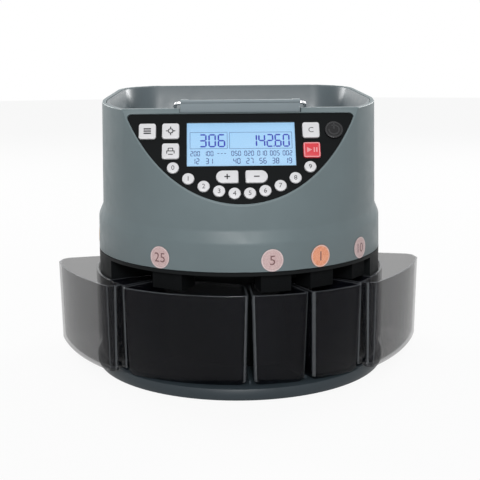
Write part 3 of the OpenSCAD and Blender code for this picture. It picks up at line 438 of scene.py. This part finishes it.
for node_name, node_object in frame["nodes"].items():
    finish = FINISHES.get(node_name, cup_smoke if node_name.startswith("cup_") else keycap_white)
    node_object.data.materials.clear()
    node_object.data.materials.append(finish)
    for face in node_object.data.polygons:
        face.material_index = 0


# ---------------------------------------------------------------- housing

def rim_height(v, level):
    """Height of a point above a slanted line round the housing, level at the machine's middle."""
    return v.co.z - (level * MM + v.co.y * RIM_SLOPE)


def make_housing():
    """The upper housing: eased band, soft rim and a rounded ridge round the key panel."""
    o = merged_copy("upper_shell", "housing_skin", plain=False)
    levels = (BAND_FOOT, BAND_TOP, RIM_TOP)

    def outer(v):
        return v.co.xy.length > 0.1275

    def on_level(v, level):
        return abs(rim_height(v, level)) < 0.2 * MM

    def step(v):
        return outer(v) and (any(on_level(v, level) for level in levels) or abs(v.co.z - SEAM) < 0.15 * MM)

    def band_edge(e):
        return any(all(on_level(v, level) for v in e.verts) for level in levels[:2]) and \
            all(outer(v) for v in e.verts) and e.calc_face_angle(0) > 0.06

    def rim_edge(e):
        return all(on_level(v, RIM_TOP) and v.co.y > -0.0815 for v in e.verts) and e.calc_face_angle(0) > 0.6

    def panel_edge(e):
        return all(abs(panel_depth(v)) < 0.05 * MM for v in e.verts) and e.calc_face_angle(0) > 0.3

    def foot_edge(e):
        return all(abs(v.co.z - SEAM) < 0.15 * MM for v in e.verts) and e.calc_face_angle(0) > 0.8

    close_steps(o, step)
    ease(o, panel_edge, 0.6 * MM)
    ease(o, rim_edge, 1.0 * MM)
    ease(o, band_edge, 1.4 * MM, 4)
    ease(o, foot_edge, 0.5 * MM, 2)
    smooth(o, 26)
    finish_piece(o, housing_grey, "housing", "housing_plastic", "upper_shell")


def make_hopper():
    """The hopper liner, with an eased lip."""
    o = merged_copy("hopper_bowl", "hopper_liner", plain=False)

    def near_lip(v):
        return abs(rim_height(v, LIP_TOP)) < 0.5 * MM

    close_steps(o, near_lip)
    ease(o, lambda e: all(near_lip(v) for v in e.verts) and e.calc_face_angle(0) > 0.6, 0.5 * MM, 2)
    smooth(o, 24)
    finish_piece(o, hopper_grey, "housing", "housing_plastic", "hopper_bowl")


def make_base():
    o = merged_copy("base_tray", "base_skirt", 0.05 * MM)
    smooth(o, 40)
    finish_piece(o, base_slate, "base", "base_plastic", "base_tray")


def on_rim(face):
    """Whether a cup's face lies on its rim, which gets a painted highlight."""
    return face.calc_center_median().z > CUP_TOP - 0.52 * MM


def in_corner(face):
    """Whether a cup's face is part of a rounded upright corner at the front, which gets a painted highlight.
    """
    tall = max(v.co.z for v in face.verts) - min(v.co.z for v in face.verts)
    middle = face.calc_center_median().xy
    outward = face.normal.xy.normalized().dot(middle.normalized())
    narrow = tall > 30 * MM and face.calc_area() / tall < 2 * MM
    in_front = middle.length > 0.12 and middle.y < -0.06 and abs(middle.x) < 0.135
    return narrow and in_front and 0.45 < outward < 0.9


def make_cups():
    """The five cups, with a painted highlight on their rims and front corners."""
    for n in range(1, 6):
        o = merged_copy(f"cup_{n}", f"cup_{n}_clear")
        pick(o, "EDGE", lambda e: all(abs(v.co.z - CUP_TOP + 0.2 * MM) < 0.05 * MM for v in e.verts))
        bpy.ops.mesh.dissolve_edges(use_verts=True)
        leave_edit()
        ease(o, lambda e: all(v.co.z > CUP_TOP - 0.1 * MM for v in e.verts) and e.calc_face_angle(0) > 0.6,
             0.5 * MM, 3)
        smooth(o, 34)
        finish_piece(o, cup_smoke, f"cup_{n}_body", "smoke_plastic", f"cup_{n}")
        # painted highlight on the rims and the rounded front corners
        paint(o, cup_painted_highlight, lambda f: on_rim(f) or in_corner(f))


def make_keys():
    """Key caps with crowned edges."""
    names = [*range(10), "plus", "minus", "clear", "batch", "set", "print", "start", "power"]
    for node in (f"key_{name}" for name in names):
        o = merged_copy(node, node + "_cap")
        ease(o, lambda e: all(abs(panel_depth(v) - KEY_TOP * MM) < 0.03 * MM for v in e.verts),
             0.5 * MM, 3)
        smooth(o, 40)
        slot = {"key_start": "red_plastic", "key_power": "black_plastic"}.get(node, "keycap_plastic")
        finish_piece(o, FINISHES.get(node, keycap_white), node + "_body", slot, node)


def make_grip():
    """The handle's grip, with eased corners."""
    o = merged_copy("handle_grip", "grip_cover")

    def long_corner(e):
        return e.calc_face_angle(0) > 1.2 and max(abs(v.co.x) for v in e.verts) < 0.06 and \
            e.calc_length() > 6 * MM

    ease(o, long_corner, 0.5 * MM, 3)
    smooth(o, 35)
    finish_piece(o, grip_grey, "handle", "housing_plastic", "handle_grip")


# ---------------------------------------------------------------- legends on the keys

def flat_bar(x, y, w, h, z=KEY_TOP, lift=PRINT):
    """A thin printed bar on the panel, its corners rounded."""
    bpy.ops.mesh.primitive_cube_add(size=1)
    o = new_piece("bar")
    o.scale = (w * MM, h * MM, lift * MM)
    fix_place(o)
    ease(o, lambda e: abs((e.verts[0].co - e.verts[1].co).normalized().z) > 0.9, min(w, h) * 0.3 * MM, 3)
    o.data.transform(on_panel(x, y, z + lift / 2))
    return o


def flat_ring(x, y, inner, outer, start=0.0, sweep=360.0, z=KEY_TOP, lift=PRINT):
    """A thin printed ring, or part of one, spun from a short section."""
    bpy.ops.mesh.primitive_plane_add(size=1)
    o = new_piece("ring")
    o.rotation_euler = (math.pi / 2, 0, 0)
    o.scale = ((outer - inner) * MM, lift * MM, 1)
    o.location = ((inner + outer) / 2 * MM, 0, lift / 2 * MM)
    fix_place(o)
    o.data.transform(Matrix.Rotation(math.radians(start), 4, "Z"))
    pick(o, "FACE", lambda f: True)
    bpy.ops.mesh.spin(steps=max(6, int(sweep / 9)), angle=math.radians(sweep), center=(0, 0, 0),
                      axis=(0, 0, 1), use_auto_merge=True)
    bpy.ops.mesh.select_all(action="SELECT")
    bpy.ops.mesh.remove_doubles(threshold=0.001 * MM)
    bpy.ops.mesh.normals_make_consistent(inside=False)
    leave_edit()
    o.data.transform(on_panel(x, y, z))
    return o


def figure(text, x, y, height, z=KEY_TOP, lift=PRINT):
    """A plain figure printed on a key."""
    bpy.ops.object.text_add()
    o = bpy.context.active_object
    o.data.body = text
    o.data.size = height * 1.38 * MM
    o.data.align_x = "CENTER"
    o.data.align_y = "CENTER"
    o.data.extrude = lift / 2 * MM
    o.data.resolution_u = 4
    select_only(o)
    bpy.ops.object.convert(target="MESH")
    o = bpy.context.active_object
    low = [min(v.co[i] for v in o.data.vertices) for i in (0, 1)]
    high = [max(v.co[i] for v in o.data.vertices) for i in (0, 1)]
    o.data.transform(Matrix.Translation((-(low[0] + high[0]) / 2, -(low[1] + high[1]) / 2, 0)))
    o.data.transform(on_panel(x, y, z + lift / 2))
    return o


def make_legends():
    """Figures, signs and plain pictograms on the keys."""
    for n in range(10):
        x, y = key_middle(f"key_{n}")
        number = joined(f"figure_{n}", [figure(str(n), x, y, 4.4)])
        finish_piece(number, legend_grey, f"key_{n}_body", "black_plastic")
    for key, upright in (("plus", True), ("minus", False)):
        x, y = key_middle("key_" + key)
        bars = [flat_bar(x, y, 5.0, 1.1)] + ([flat_bar(x, y, 1.1, 5.0)] if upright else [])
        finish_piece(joined("sign_" + key, bars), legend_grey, f"key_{key}_body", "black_plastic")
    x, y = key_middle("key_clear")
    letter = joined("figure_clear", [figure("C", x, y, 5.2)])
    finish_piece(letter, legend_grey, "key_clear_body", "black_plastic")
    x, y = key_middle("key_batch")
    stack = [flat_bar(x, y + 2.2 * row, 6.6, 1.3) for row in (-1, 0, 1)]
    finish_piece(joined("mark_stack", stack), legend_grey, "key_batch_body", "black_plastic")
    x, y = key_middle("key_set")
    dial = [flat_ring(x, y, 1.6, 2.5)]
    dial += [flat_bar(x + dx, y + dy, 0.9 + abs(dx) * 0.3, 0.9 + abs(dy) * 0.3)
             for dx, dy in ((3.3, 0), (-3.3, 0), (0, 3.3), (0, -3.3))]
    finish_piece(joined("mark_dial", dial), legend_grey, "key_set_body", "black_plastic")
    x, y = key_middle("key_print")
    sheet = [flat_bar(x, y, 6.8, 0.8), flat_bar(x, y + 2.7, 4.2, 0.8), flat_bar(x, y - 3.3, 4.2, 0.8)]
    sheet += [flat_bar(x + side * 3.2, y - 1.1, 0.8, 3) for side in (-1, 1)]
    sheet += [flat_bar(x + side * 2, y + 1.4, 0.8, 2.6) for side in (-1, 1)]
    finish_piece(joined("mark_sheet", sheet), legend_grey, "key_print_body", "black_plastic")
    x, y = key_middle("key_start")
    bpy.ops.mesh.primitive_cylinder_add(vertices=3, radius=3.0 * MM, depth=PRINT * MM)
    arrow = fix_place(new_piece("arrow"))
    arrow.data.transform(on_panel(x - 2.9, y, KEY_TOP + 0.03) @ Matrix.Rotation(-math.pi / 2, 4, "Z"))
    run = [arrow] + [flat_bar(x + 3.1 + dx, y, 1.2, 4.6) for dx in (-1.1, 1.1)]
    finish_piece(joined("mark_run", run), key_pink, "key_start_body", "keycap_plastic")
    border = [flat_bar(x, y + 6.6 * side, 14, 0.9, lift=0.08) for side in (-1, 1)]
    border += [flat_bar(x + 6.6 * side, y, 0.9, 14, lift=0.08) for side in (-1, 1)]
    finish_piece(joined("key_start_border", border), key_pink, "key_start_body", "keycap_plastic")
    x, y = key_middle("key_power")
    power = [flat_ring(x, y, 3.9, 5.0, 118, 304), flat_bar(x, y + 3.6, 1.2, 6.0)]
    finish_piece(joined("mark_power", power), power_grey, "key_power_body", "black_plastic")
    bezel = flat_ring(x, y, 6.7, 7.5, lift=0.1)
    finish_piece(joined("power_bezel", [bezel]), power_grey, "key_power_body", "black_plastic")


# ---------------------------------------------------------------- display

SEGMENTS = {"0": "abcdef", "1": "bc", "2": "abged", "3": "abgcd", "4": "fgbc", "5": "afgcd", "6": "afgedc",
            "7": "abc", "8": "abcdefg", "9": "abcdfg", "-": "g"}


def write_number(text, x, y, w, h, pitch, thick, kit):
    """Seven-segment figures; x is the right end, y the middle."""
    made = []
    for i, letter in enumerate(reversed(text.replace(".", ""))):
        cx = x - w / 2 - i * pitch
        half = h / 2
        places = {"a": (0, half, 0), "g": (0, 0, 0), "d": (0, -half, 0),
                  "f": (-w / 2, half / 2, 1), "b": (w / 2, half / 2, 1),
                  "e": (-w / 2, -half / 2, 1), "c": (w / 2, -half / 2, 1)}
        for s in SEGMENTS[letter]:
            dx, dy, upright = places[s]
            length = (half if upright else w) * 0.94
            scale = Matrix.Diagonal((length * MM, thick * MM, 0.05 * MM, 1))
            turn = Matrix.Rotation(math.pi / 2, 4, "Z") if upright else Matrix.Identity(4)
            made.append(stamped(kit, on_panel(cx + dx, y + dy, LCD_FACE + 0.03) @ turn @ scale))
    return made


def make_display():
    """Figures of the display, lying just above its blue face."""
    bpy.ops.mesh.primitive_cylinder_add(vertices=6, radius=0.5, depth=1)
    kit = fix_place(new_piece("segment"))
    kit.data.transform(Matrix.Rotation(math.pi / 6 + math.pi / 3, 4, "Z"))
    pick(kit, "VERT", lambda v: abs(v.co.x) < 0.4)
    bpy.ops.transform.resize(value=(1.45, 1, 1))
    leave_edit()
    low = min(v.co.x for v in kit.data.vertices)
    tall = max(v.co.y for v in kit.data.vertices)
    kit.data.transform(Matrix.Diagonal((-0.5 / low, 0.5 / tall, 1, 1)))
    big = write_number("306", -14.6, -30.6, 5.4, 11.6, 8.2, 1.35, kit)
    big += write_number("14260", 42.4, -30.8, 4.9, 11.4, 7.2, 1.3, kit)
    finish_piece(joined("display_figures", big + [flat_bar(29.1, -36.3, 1.1, 1.1, LCD_FACE, 0.05)]),
                 segment_blue, "housing", "display")
    small = []
    columns = ((-36.6, "200", "12"), (-24.8, "100", "31"), (-0.6, "050", "40"), (10.8, "020", "27"),
               (22.3, "010", "56"), (33.4, "005", "38"), (44.6, "002", "19"))
    for right, top, bottom in columns:
        small += write_number(top, right, -43.2, 1.9, 4.4, 3.0, 0.62, kit)
        small += write_number(bottom, right - 0.6, -50.6, 2.2, 5.0, 3.5, 0.68, kit)
    small += write_number("---", -13.2, -43.2, 1.9, 4.4, 3.0, 0.62, kit)
    for x0, x1, y0, y1 in ((-45.0, -12.2, -38.4, -22.3), (-10.2, 45.0, -38.6, -22.5)):
        small += [flat_bar((x0 + x1) / 2, y, x1 - x0, 0.35, LCD_FACE, 0.05) for y in (y0, y1)]
        small += [flat_bar(x, (y0 + y1) / 2, 0.35, y1 - y0, LCD_FACE, 0.05) for x in (x0, x1)]
    finish_piece(joined("display_small_figures", small), segment_faint, "housing", "display")
    scrap(kit)


# ---------------------------------------------------------------- coin stickers

def wrap(o, angle, height, lift):
    """Lays a flat piece on the collar: its x runs round the housing, its y up."""
    for v in o.data.vertices:
        x, y, z = v.co
        level = height + y / MM
        r = (COLLAR_R - 0.595 * (level - COLLAR_FOOT) / 25 + lift) * MM + z
        a = math.radians(angle) + x / r
        v.co = (r * math.sin(a), -r * math.cos(a), level * MM)


def make_stickers():
    """Five round stickers, each a plain disc with a beaded rim and a number."""
    faces = (coin_gold, coin_silver, coin_silver, coin_copper, coin_silver)
    numbers = ("50", "25", "5", "1", "10")
    first = True
    for angle, ink, number in zip(STICKERS, faces, numbers):
        bpy.ops.mesh.primitive_cylinder_add(vertices=64, radius=STICKER_R * MM, depth=0.25 * MM)
        disc = fix_place(new_piece("sticker_" + number))
        for _ in range(5):
            pick(disc, "FACE", lambda f: abs(f.normal.z) > 0.9 and len(f.verts) > 4)
            bpy.ops.mesh.inset(thickness=1.5 * MM)
            leave_edit()
        wrap(disc, angle, STICKER_LEVEL, 0.14)
        smooth(disc, 30)
        finish_piece(disc, ink, "housing", "printed_film", *(["coin_stickers"] if first else []))
        first = False
        bpy.ops.mesh.primitive_torus_add(major_radius=BEAD_R * MM, minor_radius=0.3 * MM,
                                         major_segments=64, minor_segments=8)
        rim = fix_place(new_piece("sticker_rim_" + number))
        rim.data.transform(Matrix.Diagonal((1, 1, 0.35, 1)))
        wrap(rim, angle, STICKER_LEVEL, 0.30)
        smooth(rim, 60)
        finish_piece(rim, coin_rim, "housing", "printed_film")
        bpy.ops.object.text_add()
        text = bpy.context.active_object
        text.data.body = number
        text.data.size = 12 * MM
        text.data.align_x = "CENTER"
        text.data.extrude = 0.03 * MM
        select_only(text)
        bpy.ops.object.convert(target="MESH")
        text = new_piece("sticker_number_" + number)
        low = [min(v.co[i] for v in text.data.vertices) for i in (0, 1)]
        high = [max(v.co[i] for v in text.data.vertices) for i in (0, 1)]
        text.data.transform(Matrix.Translation((-(low[0] + high[0]) / 2, -(low[1] + high[1]) / 2, 0)))
        wrap(text, angle, STICKER_LEVEL, 0.31)
        finish_piece(text, coin_ink, "housing", "printed_film")


# ---------------------------------------------------------------- screws on the hinges

def make_hinge_screws():
    """Small countersunk screws in the hinge leaves."""
    bpy.ops.mesh.primitive_cylinder_add(vertices=24, radius=1.15 * MM, depth=1.4 * MM,
                                        rotation=(math.pi / 2, 0, 0))
    screw = fix_place(new_piece("hinge_screw"))
    pick(screw, "FACE", lambda f: f.normal.y > 0.9)
    bpy.ops.mesh.inset(thickness=0.55 * MM)
    bpy.ops.mesh.extrude_region_move(TRANSFORM_OT_translate={"value": (0, -0.5 * MM, 0)})
    leave_edit()
    smooth(screw, 35)
    for name, body, z, y in (("lower", "base", 105.5, 139.55), ("upper", "housing", 124.9, 139.65)):
        set_of_screws = []
        for side in (-58, 58):
            for dx in (-6, 6):
                place = Matrix.Translation(((side + dx) * MM, y * MM + 0.0001, z * MM))
                set_of_screws.append(stamped(screw, place))
        finish_piece(joined(f"hinge_screws_{name}", set_of_screws), sheet_steel, body, "steel")
    scrap(screw)


# ---------------------------------------------------------------- floor and light

def make_floor():
    bpy.ops.mesh.primitive_circle_add(vertices=64, radius=6, fill_type="NGON", location=(0, 0, -0.0002))
    floor = new_piece("floor")
    material, nodes, links, shader, _ = start_material("floor_white")
    shader.inputs["Base Color"].default_value = (0.6, 0.6, 0.6, 1)
    shader.inputs["Roughness"].default_value = 0.9
    path = nodes.new("ShaderNodeLightPath")
    seen = nodes.new("ShaderNodeMath")
    seen.operation = "MAXIMUM"
    links.new(path.outputs["Is Camera Ray"], seen.inputs[0])
    links.new(path.outputs["Is Glossy Ray"], seen.inputs[1])
    seen_too = nodes.new("ShaderNodeMath")
    seen_too.operation = "MAXIMUM"
    links.new(seen.outputs["Value"], seen_too.inputs[0])
    links.new(path.outputs["Is Transmission Ray"], seen_too.inputs[1])
    share = nodes.new("ShaderNodeMath")
    share.operation = "MULTIPLY"
    share.inputs[1].default_value = 0.92
    links.new(seen_too.outputs["Value"], share.inputs[0])
    glow = nodes.new("ShaderNodeEmission")
    glow.inputs["Color"].default_value = (1, 1, 1, 1)
    glow.inputs["Strength"].default_value = 1.0
    mix = nodes.new("ShaderNodeMixShader")
    links.new(share.outputs["Value"], mix.inputs["Fac"])
    links.new(shader.outputs["BSDF"], mix.inputs[1])
    links.new(glow.outputs["Emission"], mix.inputs[2])
    links.new(mix.outputs["Shader"], nodes["Material Output"].inputs["Surface"])
    floor.data.materials.append(material)


def make_light():
    world = bpy.context.scene.world or bpy.data.worlds.new("studio")
    bpy.context.scene.world = world
    world.use_nodes = True
    nodes, links = world.node_tree.nodes, world.node_tree.links
    nodes.clear()
    out = nodes.new("ShaderNodeOutputWorld")
    room = nodes.new("ShaderNodeBackground")
    room.inputs["Color"].default_value = (1, 1, 1, 1)
    room.inputs["Strength"].default_value = 0.16
    backdrop = nodes.new("ShaderNodeBackground")
    backdrop.inputs["Color"].default_value = (1, 1, 1, 1)
    backdrop.inputs["Strength"].default_value = 1.0
    path = nodes.new("ShaderNodeLightPath")
    first = nodes.new("ShaderNodeMath")
    first.operation = "MAXIMUM"
    links.new(path.outputs["Is Camera Ray"], first.inputs[0])
    links.new(path.outputs["Is Glossy Ray"], first.inputs[1])
    second = nodes.new("ShaderNodeMath")
    second.operation = "MAXIMUM"
    links.new(first.outputs["Value"], second.inputs[0])
    links.new(path.outputs["Is Transmission Ray"], second.inputs[1])
    mix = nodes.new("ShaderNodeMixShader")
    links.new(second.outputs["Value"], mix.inputs["Fac"])
    links.new(room.outputs["Background"], mix.inputs[1])
    links.new(backdrop.outputs["Background"], mix.inputs[2])
    links.new(mix.outputs["Shader"], out.inputs["Surface"])
    lamps = (("key_light", (-0.1, -2.1, 1.4), 0.9, 40), ("top_light", (0.0, 0.3, 2.2), 1.2, 14),
             ("left_back_light", (-1.4, 1.6, 1.2), 0.9, 26), ("right_back_light", (1.4, 1.6, 1.2), 0.9, 28))
    for name, place, size, watts in lamps:
        bpy.ops.object.light_add(type="AREA", location=place)
        lamp = bpy.context.active_object
        lamp.name = name
        lamp.data.size = size
        lamp.data.energy = watts
        aim = Vector((0, 0, 0.12)) - Vector(place)
        lamp.rotation_euler = aim.to_track_quat("-Z", "Y").to_euler()
    view = bpy.context.scene.view_settings
    view.view_transform = "Standard"


select_only()
place_camera()
make_floor()
make_light()
make_housing()
make_hopper()
make_base()
make_cups()
make_keys()
make_grip()
make_legends()
make_display()
make_stickers()
make_hinge_screws()

select_only()
